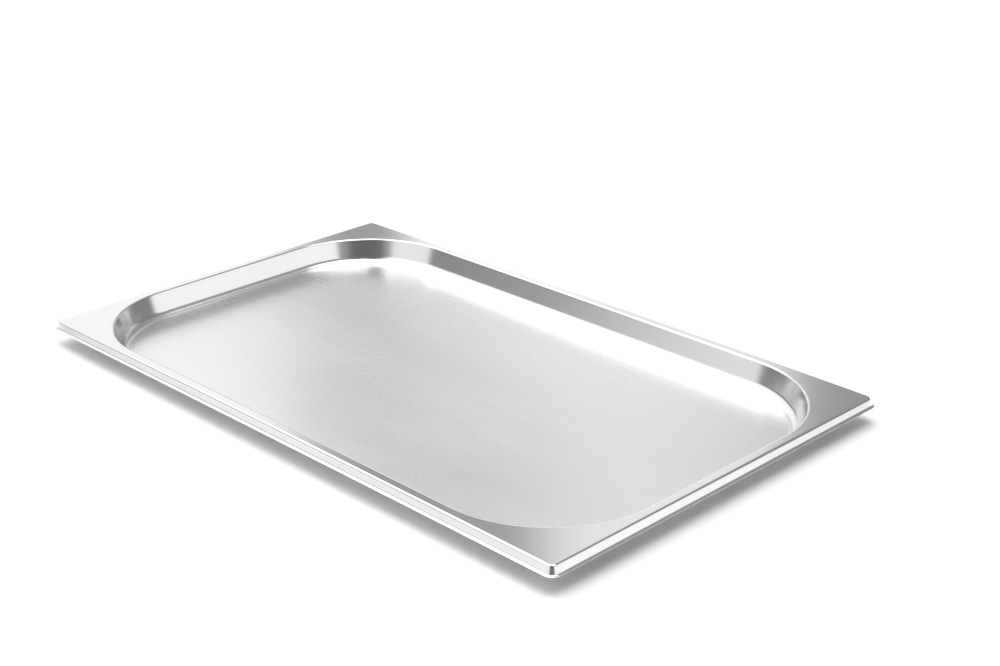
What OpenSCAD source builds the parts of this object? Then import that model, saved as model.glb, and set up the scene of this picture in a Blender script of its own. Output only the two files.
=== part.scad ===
// Shallow Gastronorm food pan, drawn from one sheet of stainless steel.
// X runs along the pan, Y across it and Z up. The origin is the middle of the underside of the floor.

/* [Overall] */
// Length over the rim's lip
pan_l = 530; // [325:1:660]
// Width over the rim's lip
pan_w = 325; // [260:1:325]
// Height from the underside of the floor to the top of the flange
pan_h = 20; // [18:1:100]
// Thickness of the sheet
sheet_t = 0.7; // [0.5:0.1:1]

/* [Basin] */
// Radius of the basin's corners at the mouth, seen from above
mouth_corner_r = 86; // [50:1:110]
// Slope of the walls away from upright, in degrees
wall_draft = 18.2; // [1:0.1:25]
// Radius of the bend from the flange down into the wall, on the upper surface
mouth_bend_r = 1.7; // [1.2:0.1:4]
// Radius of the bend from the wall out into the floor, on the upper surface
floor_bend_r = 7.5; // [3:0.5:12]

/* [Rim] */
// Width of the flat flange along the sides, from the mouth to the start of the rim's bend
flange_w = 4.9; // [4:0.1:20]
// Radius of the flat flange's outer corners, seen from above
rim_corner_r = 3; // [2:0.5:10]
// Radius of the bend from the flange down into the skirt, on the outer surface
rim_bend_r = 1.5; // [1.2:0.1:3]
// Length of the skirt's flat stretch, down its slope
skirt_len = 4.3; // [1:0.1:10]
// Slope of the skirt away from upright, in degrees
skirt_draft = 18.2; // [1:0.1:25]
// Radius of the bend from the skirt out into the lip, on the outer surface
lip_bend_r = 1.5; // [0.4:0.1:2]
// How far the lip stands out beyond the skirt's flat stretch
lip_reach = 1.7; // [1.6:0.1:4]
// Slope of the lip below level, in degrees
lip_slope = 19; // [15:1:60]

/* [Hidden] */
$fn = 96;

// How far the rim stands out beyond the flat flange
rim_reach = rim_bend_r * cos(skirt_draft) + skirt_len * sin(skirt_draft) + lip_reach;
// Half sizes of the flat flange, up to the start of the rim's bend
flange_half_l = pan_l / 2 - rim_reach;
flange_half_w = pan_w / 2 - rim_reach;
// Half sizes of the basin's mouth, where the flange starts to bend into the wall
mouth_half_l = flange_half_l - flange_w;
mouth_half_w = flange_half_w - flange_w;

// The wall's flat stretch takes the height that its two bends leave
wall_turn = 90 - wall_draft;
wall_bends_r = mouth_bend_r + floor_bend_r;
wall_len = (pan_h - sheet_t - wall_bends_r * (1 - sin(wall_draft))) / cos(wall_draft);
// How far the flat floor's edge lies inside the mouth
floor_inset = wall_bends_r * cos(wall_draft) + wall_len * sin(wall_draft);

// The lip's flat end takes the reach that its bend leaves
skirt_turn = 90 - skirt_draft;
lip_turn = skirt_turn - lip_slope;
lip_len = (lip_reach - lip_bend_r * (cos(skirt_draft) - sin(lip_slope))) / cos(lip_slope);

// How far neighbouring stretches of flat sheet run into each other, so that all of them join
lap = 1;

// The next three modules draw the sheet end on. Each starts at the origin, where the sheet's upper
// surface heads along +X, and its children carry on from its end.

// Flat stretch
module flat(length) {
    translate([0, -sheet_t])
        square([length, sheet_t]);
    translate([length, 0])
        children();
}

// Bend down, by at most 90 degrees, round a centre below the upper surface
module bend_down(upper_r, turn) {
    translate([0, -upper_r]) {
        ring_slice(upper_r - sheet_t, 90 - turn, 90);
        rotate(-turn)
            translate([0, upper_r])
                children();
    }
}

// Bend up, by at most 90 degrees, round a centre above the upper surface
module bend_up(upper_r, turn) {
    translate([0, upper_r]) {
        ring_slice(upper_r, -90, turn - 90);
        rotate(turn)
            translate([0, -upper_r])
                children();
    }
}

// Slice of a ring as thick as the sheet, between two angles at most 90 degrees apart
module ring_slice(inner_r, from, to) {
    reach = 2 * (inner_r + sheet_t);
    intersection() {
        difference() {
            circle(inner_r + sheet_t);
            circle(inner_r);
        }
        rotate(from)
            square(reach);
        rotate(to)
            translate([0, -reach])
                square(reach);
    }
}

// Section of the basin, from the flange in to the middle of the floor. X is measured outwards from the
// mouth, and Y is the height
module basin_section() {
    mirror([1, 0])
        translate([-lap, pan_h])
            flat(lap)
                bend_down(mouth_bend_r, wall_turn)
                    flat(wall_len)
                        bend_up(floor_bend_r, wall_turn)
                            flat(mouth_half_w - floor_inset + lap);
}

// Section of the rim, from the flange out to the lip. X is measured outwards from the flat flange's
// edge, and Y is the height
module rim_section() {
    translate([-lap, pan_h])
        flat(lap)
            bend_down(rim_bend_r, skirt_turn)
                flat(skirt_len)
                    bend_up(lip_bend_r, lip_turn)
                        flat(lip_len);
}

// Carries a section round a rectangle with round corners. At the corners, the section stops at the
// corner's centre
module carry_round(half_l, half_w, corner_r) {
    for (side = [0 : 3]) {
        out = side % 2 == 0 ? half_l : half_w;
        half_run = (side % 2 == 0 ? half_w : half_l) - corner_r;
        rotate(90 * side) {
            translate([out, half_run, 0])
                rotate([90, 0, 0])
                    linear_extrude(2 * half_run)
                        children();
            translate([out - corner_r, half_run, 0])
                rotate_extrude(angle = 90)
                    intersection() {
                        translate([corner_r, 0])
                            children();
                        translate([0, -pan_h])
                            square([pan_l, 3 * pan_h]);
                    }
        }
    }
}

// Rectangle with round corners, centred on the origin
module round_rectangle(half_l, half_w, corner_r) {
    square([2 * half_l, 2 * (half_w - corner_r)], center = true);
    square([2 * (half_l - corner_r), 2 * half_w], center = true);
    for (x = [-1, 1], y = [-1, 1])
        translate([x * (half_l - corner_r), y * (half_w - corner_r)])
            circle(corner_r);
}

// The flat flange, which is wide at the corners because the basin's corners are so round
module flange() {
    translate([0, 0, pan_h - sheet_t])
        linear_extrude(sheet_t)
            difference() {
                round_rectangle(flange_half_l, flange_half_w, rim_corner_r);
                round_rectangle(mouth_half_l, mouth_half_w, mouth_corner_r);
            }
}

// The whole pan. Its floor, walls, flange, skirt and lip are the same sheet
module pan() {
    color("gainsboro") {
        flange();
        carry_round(mouth_half_l, mouth_half_w, mouth_corner_r)
            basin_section();
        carry_round(flange_half_l, flange_half_w, rim_corner_r)
            rim_section();
    }
}

pan();
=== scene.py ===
import math

import bpy
from mathutils import Matrix, Vector, noise


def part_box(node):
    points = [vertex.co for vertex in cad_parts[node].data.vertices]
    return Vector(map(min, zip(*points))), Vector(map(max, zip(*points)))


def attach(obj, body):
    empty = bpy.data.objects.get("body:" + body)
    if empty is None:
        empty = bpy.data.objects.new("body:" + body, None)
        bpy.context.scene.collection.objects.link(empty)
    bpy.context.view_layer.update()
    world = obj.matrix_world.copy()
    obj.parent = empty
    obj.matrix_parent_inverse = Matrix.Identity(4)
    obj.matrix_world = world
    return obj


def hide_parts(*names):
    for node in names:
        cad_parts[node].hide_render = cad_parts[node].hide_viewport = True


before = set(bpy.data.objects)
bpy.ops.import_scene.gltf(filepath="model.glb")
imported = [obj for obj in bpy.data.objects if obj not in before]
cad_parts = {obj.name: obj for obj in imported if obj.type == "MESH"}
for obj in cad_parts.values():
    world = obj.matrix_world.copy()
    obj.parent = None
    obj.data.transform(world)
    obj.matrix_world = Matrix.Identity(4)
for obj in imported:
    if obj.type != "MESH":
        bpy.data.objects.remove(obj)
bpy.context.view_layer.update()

MM = 0.001

# ---------------------------------------------------------------- the pan's shape, in millimetres
SHEET = 0.7
MOUTH_CORNER_R = 86.0
WALL_DRAFT = math.radians(18.2)
MOUTH_BEND_R = 1.7
FLOOR_BEND_R = 7.5
FLANGE_W = 4.9
RIM_CORNER_R = 3.0
RIM_BEND_R = 1.5
SKIRT_LEN = 4.3
SKIRT_DRAFT = math.radians(18.2)
LIP_BEND_R = 1.5
LIP_REACH = 1.7
LIP_SLOPE = math.radians(19)
# How far the rim stands out beyond the flat flange
RIM_REACH = RIM_BEND_R * math.cos(SKIRT_DRAFT) + SKIRT_LEN * math.sin(SKIRT_DRAFT) + LIP_REACH
# Radius left on the two edges of the lip's cut end
CUT_EDGE_R = 0.12
# The long sides bow up a little, so the rim's corners lie this much lower than its middle
CROWN = 1.0
# Height and breadth of the faint waves that pressing leaves in flat sheet
RIPPLE = 0.15
RIPPLE_BREADTH = 140.0

# The floor is the most matt, and the flange is the smoothest
FLOOR_ROUGHNESS = 0.27
WALL_ROUGHNESS = 0.16
FLANGE_ROUGHNESS = 0.12
# Heights between which the roughness changes
FLOOR_TO_WALL = (1.0, 4.0)
WALL_TO_FLANGE = (17.5, 18.5)
# How much the lines and the cloudy patches in the steel change its roughness, either way
LINES_ROUGHNESS = 0.007
CLOUD_ROUGHNESS = 0.012
# Strength and depth of the lines as relief, the depth in metres
RELIEF_STRENGTH = 0.03
RELIEF_DEPTH = 0.00002

# The overall size comes from the CAD node
pan_low, pan_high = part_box("pan")
HALF_L = pan_high[0] / MM
HALF_W = pan_high[1] / MM
HEIGHT = pan_high[2] / MM
FLANGE_HALF = (HALF_L - RIM_REACH, HALF_W - RIM_REACH)
MOUTH_HALF = (FLANGE_HALF[0] - FLANGE_W, FLANGE_HALF[1] - FLANGE_W)

# Segments along each stretch of the outline, and round each bend of the section
LONG_SEGS = 44
SHORT_SEGS = 18
CORNER_RUN_SEGS = 12
CORNER_ARC_SEGS = 12
CORNER_SEGS = 2 * CORNER_RUN_SEGS + CORNER_ARC_SEGS
BEND_SEGS = 12
FLANGE_SEGS = 5
# A ring of points this close to each end of a flat stretch keeps its shading flat
EDGE_RING = 0.3


# ---------------------------------------------------------------- the section of the sheet
class Section:
    """A walk along the sheet's upper surface, in the plane of (distance, height)."""

    def __init__(self, start, heading=0.0):
        self.heading = heading
        self.marks = [(Vector(start), heading)]

    def straight(self, length, steps=1):
        start = self.marks[-1][0]
        along = Vector((math.cos(self.heading), math.sin(self.heading)))
        inner = [EDGE_RING + (length - 2 * EDGE_RING) * i / steps for i in range(steps + 1)]
        for distance in inner + [length]:
            self.marks.append((start + along * distance, self.heading))
        return self

    def bend(self, radius, turn, segs=BEND_SEGS):
        """An arc that turns left where turn is positive, and right where it is negative."""
        side = math.copysign(math.pi / 2, turn)
        start = self.heading
        to_centre = Vector((math.cos(start + side), math.sin(start + side)))
        centre = self.marks[-1][0] + radius * to_centre
        for i in range(1, segs + 1):
            self.heading = start + turn * i / segs
            spoke = Vector((math.cos(self.heading - side), math.sin(self.heading - side)))
            self.marks.append((centre + radius * spoke, self.heading))
        return self

    def upper(self):
        return [at for at, _ in self.marks]

    def lower(self):
        return [at + SHEET * Vector((math.sin(heading), -math.cos(heading))) for at, heading in self.marks]


def basin_section():
    """From the mouth down to the edge of the floor. Distances are measured inwards from the mouth."""
    bends = MOUTH_BEND_R + FLOOR_BEND_R
    wall = (HEIGHT - SHEET - bends * (1 - math.sin(WALL_DRAFT))) / math.cos(WALL_DRAFT)
    turn = math.pi / 2 - WALL_DRAFT
    return Section((0, HEIGHT)).bend(MOUTH_BEND_R, -turn).straight(wall, 3).bend(FLOOR_BEND_R, turn)


def rim_section():
    """From the flat flange's edge down to the lip. Distances are measured outwards from that edge."""
    turn = math.pi / 2 - SKIRT_DRAFT
    bend_reach = LIP_BEND_R * (math.cos(SKIRT_DRAFT) - math.sin(LIP_SLOPE))
    lip = (LIP_REACH - bend_reach) / math.cos(LIP_SLOPE)
    section = Section((0, HEIGHT)).bend(RIM_BEND_R, -turn).straight(SKIRT_LEN)
    return section.bend(LIP_BEND_R, turn - LIP_SLOPE).straight(lip - CUT_EDGE_R)


def cut_end(section):
    """Round the sheet's cut end, from its upper to its lower surface."""
    at, heading = section.marks[-1]
    first = Section(at, heading).bend(CUT_EDGE_R, -math.pi / 2, 4)
    across, down = first.marks[-1]
    far_side = across + (SHEET - 2 * CUT_EDGE_R) * Vector((math.cos(down), math.sin(down)))
    second = Section(far_side, down).bend(CUT_EDGE_R, -math.pi / 2, 4)
    return first.upper()[1:] + second.upper()[:-1]


# ---------------------------------------------------------------- the outline of the pan
def round_outline(quarter):
    """Four quarters of an outline, each a side and the corner after it, as (anchor, outward) pairs."""
    pairs = []
    for turns in range(4):
        swap = turns % 2 == 1
        rotation = Matrix.Rotation(turns * math.pi / 2, 2)
        for anchor, outward in quarter(swap, LONG_SEGS if swap else SHORT_SEGS):
            pairs.append((rotation @ Vector(anchor), rotation @ Vector(outward)))
    return pairs


def basin_quarter(swap, side_segs):
    out, run = (MOUTH_HALF[swap] - MOUTH_CORNER_R, MOUTH_HALF[not swap] - MOUTH_CORNER_R)
    side = [((out, run * (2 * i / side_segs - 1)), (1, 0)) for i in range(side_segs)]
    angles = [math.pi / 2 * i / CORNER_SEGS for i in range(CORNER_SEGS)]
    return side + [((out, run), (math.cos(angle), math.sin(angle))) for angle in angles]


def rim_quarter(swap, side_segs):
    """Its points lie beside the basin's, and most of its corner's points lie on the straight edges."""
    out, run = (FLANGE_HALF[swap] - RIM_CORNER_R, FLANGE_HALF[not swap] - RIM_CORNER_R)
    basin_out, basin_run = (MOUTH_HALF[swap] - MOUTH_CORNER_R, MOUTH_HALF[not swap] - MOUTH_CORNER_R)
    steps = [i / CORNER_RUN_SEGS for i in range(CORNER_RUN_SEGS)]
    angles = [math.pi / 2 * i / CORNER_ARC_SEGS for i in range(CORNER_ARC_SEGS)]
    side = [((out, basin_run * (2 * i / side_segs - 1)), (1, 0)) for i in range(side_segs)]
    before = [((out, basin_run + (run - basin_run) * step), (1, 0)) for step in steps]
    arc = [((out, run), (math.cos(angle), math.sin(angle))) for angle in angles]
    after = [((out + (basin_out - out) * step, run), (0, 1)) for step in steps]
    return side + before + arc + after


def ring(outline, reach, height):
    return [(anchor + outward * reach).to_3d() + Vector((0, 0, height)) for anchor, outward in outline]


def sheet_rings():
    """The pan's skin as rings, from the edge of the floor out over the rim and back underneath."""
    basin, rim = round_outline(basin_quarter), round_outline(rim_quarter)
    wall, skirt = basin_section(), rim_section()
    floor_edge = wall.marks[-1][0].x

    def basin_ring(at):
        return ring(basin, MOUTH_CORNER_R - at[0], at[1])

    def rim_ring(at):
        return ring(rim, RIM_CORNER_R + at[0], at[1])

    def flange_rings(height):
        inner = basin_ring((-EDGE_RING, height))
        outer = rim_ring((-EDGE_RING, height))
        steps = [i / FLANGE_SEGS for i in range(FLANGE_SEGS + 1)]
        return [[a.lerp(b, step) for a, b in zip(inner, outer)] for step in steps]

    rings = [basin_ring((floor_edge + EDGE_RING, SHEET))]
    rings += [basin_ring(at) for at in reversed(wall.upper())]
    rings += flange_rings(HEIGHT)
    rings += [rim_ring(at) for at in skirt.upper() + cut_end(skirt) + skirt.lower()[::-1]]
    rings += flange_rings(HEIGHT - SHEET)[::-1]
    rings += [basin_ring(at) for at in wall.lower()]
    rings += [basin_ring((floor_edge + EDGE_RING, 0))]
    return rings


def floor_grid(loop, first, verts, faces, upwards):
    """Fills the loop of points that starts at vertex first with a grid of four-sided faces."""
    count = len(loop)
    start = SHORT_SEGS + CORNER_SEGS // 2
    across, along = SHORT_SEGS + CORNER_SEGS, LONG_SEGS + CORNER_SEGS
    # The grid's corners are the middles of the loop's corners
    back_right, back_left = start, start + along
    front_left, front_right = back_left + across, back_left + across + along
    index = {}
    for i in range(along + 1):
        index[i, 0] = first + (front_left + i) % count
        index[i, across] = first + (back_left - i) % count
    for j in range(across + 1):
        index[0, j] = first + (front_left - j) % count
        index[along, j] = first + (front_right + j) % count
    corners = [verts[index[i, j]] for i, j in ((0, 0), (along, 0), (0, across), (along, across))]
    for i in range(1, along):
        for j in range(1, across):
            u, v = i / along, j / across
            between_ends = verts[index[i, 0]] * (1 - v) + verts[index[i, across]] * v
            between_sides = verts[index[0, j]] * (1 - u) + verts[index[along, j]] * u
            level = (corners[0] * (1 - u) + corners[1] * u) * (1 - v)
            level += (corners[2] * (1 - u) + corners[3] * u) * v
            index[i, j] = len(verts)
            verts.append(between_ends + between_sides - level)
    for i in range(along):
        for j in range(across):
            face = (index[i, j], index[i + 1, j], index[i + 1, j + 1], index[i, j + 1])
            faces.append(face if upwards else face[::-1])


def settle(point):
    """Bows the long sides up and adds faint waves, without leaving the CAD node's box."""
    wave = (1 + noise.noise(Vector((point.x, point.y, 0)) / RIPPLE_BREADTH)) / 2
    bow = 1 - CROWN / HEIGHT * (point.x / HALF_L) ** 2
    lift = RIPPLE * wave * (1 - 2 * point.z / HEIGHT)
    return Vector((point.x, point.y, point.z * bow + lift)) * MM


def make_pan():
    rings = sheet_rings()
    count = len(rings[0])
    verts = [point for points in rings for point in points]
    faces = []
    for k in range(len(rings) - 1):
        for i in range(count):
            j = (i + 1) % count
            faces.append((k * count + i, (k + 1) * count + i, (k + 1) * count + j, k * count + j))
    floor_grid(rings[0], 0, verts, faces, upwards=True)
    floor_grid(rings[-1], (len(rings) - 1) * count, verts, faces, upwards=False)
    mesh = bpy.data.meshes.new("food_pan")
    mesh.from_pydata([settle(point) for point in verts], [], faces)
    mesh.polygons.foreach_set("use_smooth", [True] * len(faces))
    mesh.validate()
    pan = bpy.data.objects.new("food_pan", mesh)
    bpy.context.scene.collection.objects.link(pan)
    return pan


# ---------------------------------------------------------------- materials
class Nodes:
    """Shorthand for building one node tree."""

    def __init__(self, tree):
        self.tree = tree

    def add(self, kind, values=None, **settings):
        node = self.tree.nodes.new(kind)
        for name, value in settings.items():
            setattr(node, name, value)
        for name, value in (values or {}).items():
            self.put(node.inputs[name], value)
        return node

    def put(self, socket, value):
        if isinstance(value, bpy.types.NodeSocket):
            self.tree.links.new(value, socket)
        else:
            socket.default_value = value

    def math(self, operation, *values):
        node = self.add("ShaderNodeMath", operation=operation)
        for socket, value in zip(node.inputs, values):
            self.put(socket, value)
        return node.outputs["Value"]

    def span(self, value, start, end, low=0.0, high=1.0, curve="LINEAR"):
        """Takes value from the range start..end to the range low..high, and holds it there."""
        ends = {"Value": value, "From Min": start, "From Max": end, "To Min": low, "To Max": high}
        return self.add("ShaderNodeMapRange", ends, interpolation_type=curve).outputs["Result"]

    def spread(self, noise_value, low, high):
        """Takes noise, which lies mostly between 0.3 and 0.7, to the range low..high."""
        return self.span(noise_value, 0.3, 0.7, low, high)

    def noise(self, place, scale, detail=2.0, seed=0.0):
        """Noise from 0 to 1 that repeats about scale times a metre along each axis."""
        mapping = {"Vector": place, "Scale": scale, "Location": (seed, seed, seed)}
        moved = self.add("ShaderNodeMapping", mapping).outputs["Vector"]
        values = {"Vector": moved, "Scale": 1.0, "Detail": detail}
        return self.add("ShaderNodeTexNoise", values).outputs["Fac"]


def steel_material():
    """Satin rolled stainless steel: long grain from rolling, and draw lines round the pressed walls."""
    material = bpy.data.materials.new("stainless_steel")
    material.use_nodes = True
    nodes = Nodes(material.node_tree)
    shader = material.node_tree.nodes["Principled BSDF"]
    coords = nodes.add("ShaderNodeTexCoord")
    place = coords.outputs["Object"]
    height = nodes.add("ShaderNodeSeparateXYZ", {"Vector": place}).outputs["Z"]
    facing = nodes.add("ShaderNodeSeparateXYZ", {"Vector": coords.outputs["Normal"]}).outputs["Z"]
    flat = nodes.span(nodes.math("ABSOLUTE", facing), 0.5, 0.9)
    steep = nodes.math("SUBTRACT", 1.0, flat)

    grain = nodes.noise(place, (14, 1100, 1100), 3.0)
    draw_lines = nodes.noise(place, (5, 5, 1900), 3.0, seed=7.0)
    lines = nodes.add("ShaderNodeMix", {"Factor": steep, "A": grain, "B": draw_lines}).outputs["Result"]
    cloud = nodes.noise(place, (9, 16, 16), 3.0, seed=3.0)

    tone = nodes.math("ADD", nodes.spread(lines, -0.005, 0.005), nodes.spread(cloud, 0.77, 0.79))
    warm, cool = nodes.math("MULTIPLY", tone, 0.998), nodes.math("MULTIPLY", tone, 1.004)
    colour = nodes.add("ShaderNodeCombineColor", {"Red": warm, "Green": tone, "Blue": cool}).outputs["Color"]
    nodes.put(shader.inputs["Base Color"], colour)
    shader.inputs["Metallic"].default_value = 1

    floor_end, wall_start = (at * MM for at in FLOOR_TO_WALL)
    wall_end, flange_start = (at * MM for at in WALL_TO_FLANGE)
    basin = nodes.span(height, floor_end, wall_start, FLOOR_ROUGHNESS, WALL_ROUGHNESS)
    flange = nodes.span(height, wall_end, flange_start, 0.0, FLANGE_ROUGHNESS - WALL_ROUGHNESS)
    roughness = nodes.math("ADD", basin, flange)
    roughness = nodes.math("ADD", roughness, nodes.spread(lines, -LINES_ROUGHNESS, LINES_ROUGHNESS))
    roughness = nodes.math("ADD", roughness, nodes.spread(cloud, -CLOUD_ROUGHNESS, CLOUD_ROUGHNESS))
    nodes.put(shader.inputs["Roughness"], roughness)

    relief = {"Height": lines, "Strength": RELIEF_STRENGTH, "Distance": RELIEF_DEPTH}
    nodes.put(shader.inputs["Normal"], nodes.add("ShaderNodeBump", relief).outputs["Normal"])
    return material


def floor_material():
    """Smooth white studio paper with a faint mottle."""
    material = bpy.data.materials.new("studio_floor")
    material.use_nodes = True
    nodes = Nodes(material.node_tree)
    shader = material.node_tree.nodes["Principled BSDF"]
    place = nodes.add("ShaderNodeTexCoord").outputs["Object"]
    tone = nodes.spread(nodes.noise(place, (3, 3, 3)), 0.895, 0.905)
    colour = nodes.add("ShaderNodeCombineColor", {"Red": tone, "Green": tone, "Blue": tone}).outputs["Color"]
    nodes.put(shader.inputs["Base Color"], colour)
    shader.inputs["Roughness"].default_value = 0.9
    return material


# ---------------------------------------------------------------- the studio
def make_floor():
    half = 15.0
    mesh = bpy.data.meshes.new("studio_floor")
    corners = [(-half, -half, 0), (half, -half, 0), (half, half, 0), (-half, half, 0)]
    mesh.from_pydata(corners, [], [(0, 1, 2, 3)])
    mesh.materials.append(floor_material())
    floor = bpy.data.objects.new("studio_floor", mesh)
    bpy.context.scene.collection.objects.link(floor)


def make_camera():
    azimuth, elevation, roll = math.radians(45.35), math.radians(22.85), math.radians(-0.39)
    distance = 1.34
    target = Vector((-0.0333, 0.0919, 0))
    back = Vector((
        math.sin(azimuth) * math.cos(elevation),
        -math.cos(azimuth) * math.cos(elevation),
        math.sin(elevation),
    ))
    right = Vector((math.cos(azimuth), math.sin(azimuth), 0))
    up = back.cross(right)
    rolled_right = math.cos(roll) * right + math.sin(roll) * up
    rolled_up = math.cos(roll) * up - math.sin(roll) * right
    data = bpy.data.cameras.new("camera")
    data.sensor_width = 36
    data.lens = 62.12
    camera = bpy.data.objects.new("camera", data)
    turn = Matrix((rolled_right, rolled_up, back)).transposed()
    camera.matrix_world = Matrix.Translation(target + back * distance) @ turn.to_4x4()
    bpy.context.scene.collection.objects.link(camera)
    bpy.context.scene.camera = camera


def make_world():
    """A white studio: panels of light round the pan, with bearings and heights in degrees."""
    world = bpy.data.worlds.new("studio")
    bpy.context.scene.world = world
    world.use_nodes = True
    nodes = Nodes(world.node_tree)
    direction = nodes.add("ShaderNodeTexCoord").outputs["Generated"]
    axes = nodes.add("ShaderNodeSeparateXYZ", {"Vector": direction}).outputs
    bearing = nodes.math("DEGREES", nodes.math("ARCTAN2", axes["Y"], axes["X"]))
    elevation = nodes.math("DEGREES", nodes.math("ARCSINE", axes["Z"]))

    def panel(below, level, middle, breadth, bottom, top, side_fade=10.0, end_fade=8.0):
        """Lays a panel of the given level over what is below it."""
        offset = nodes.math("WRAP", nodes.math("SUBTRACT", bearing, middle), 180.0, -180.0)
        away = nodes.math("ABSOLUTE", offset)
        half = breadth / 2
        side = nodes.span(away, half - side_fade / 2, half + side_fade / 2, 1.0, 0.0, "SMOOTHSTEP")
        foot = nodes.span(elevation, bottom - end_fade / 2, bottom + end_fade / 2, curve="SMOOTHSTEP")
        head = nodes.span(elevation, top - end_fade / 2, top + end_fade / 2, 1.0, 0.0, "SMOOTHSTEP")
        cover = nodes.math("MULTIPLY", side, nodes.math("MULTIPLY", foot, head))
        return nodes.add("ShaderNodeMix", {"Factor": cover, "A": below, "B": level}).outputs["Result"]

    room = 0.36
    right_fill = panel(room, 1.15, middle=16, breadth=62, bottom=-20, top=34, side_fade=4)
    right_gap = panel(right_fill, 0.26, middle=63, breadth=30, bottom=-20, top=40, side_fade=6)
    right_back = panel(right_gap, 0.65, middle=101, breadth=44, bottom=-20, top=20)
    right_back_top = panel(right_back, 0.35, middle=108, breadth=32, bottom=24, top=60)
    back_right = panel(right_back_top, 1.0, middle=129, breadth=9, bottom=-20, top=36, side_fade=3)
    back_middle = panel(back_right, 1.25, middle=135.5, breadth=6.5, bottom=-20, top=24, side_fade=2)
    back_left = panel(back_middle, 1.15, middle=159, breadth=33, bottom=-20, top=40, side_fade=3)
    far_gap = panel(back_left, 0.24, middle=201, breadth=54, bottom=-20, top=15)
    bank_foot = panel(far_gap, 1.2, middle=206, breadth=66, bottom=14, top=44)
    overhead = panel(bank_foot, 2.3, middle=186, breadth=112, bottom=40, top=80)
    overhead_right = panel(overhead, 3.4, middle=222, breadth=40, bottom=40, top=78)
    key = panel(overhead_right, 1.0, middle=258, breadth=50, bottom=-20, top=24, side_fade=8)
    key_top = panel(key, 1.6, middle=252, breadth=62, bottom=26, top=70)
    camera_side = panel(key_top, 0.16, middle=312, breadth=40, bottom=-20, top=72)
    right_top = panel(camera_side, 3.3, middle=20, breadth=150, bottom=62, top=100)
    zenith = panel(right_top, 4.2, middle=0, breadth=400, bottom=73, top=100)
    background = world.node_tree.nodes["Background"]
    colour = nodes.add("ShaderNodeCombineColor", {"Red": zenith, "Green": zenith, "Blue": zenith})
    nodes.put(background.inputs["Color"], colour.outputs["Color"])
    background.inputs["Strength"].default_value = 1.0


pan = make_pan()
pan.data.materials.append(steel_material())
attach(pan, "root")
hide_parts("pan")
make_floor()
make_camera()
make_world()
bpy.context.scene.view_settings.view_transform = "Standard"
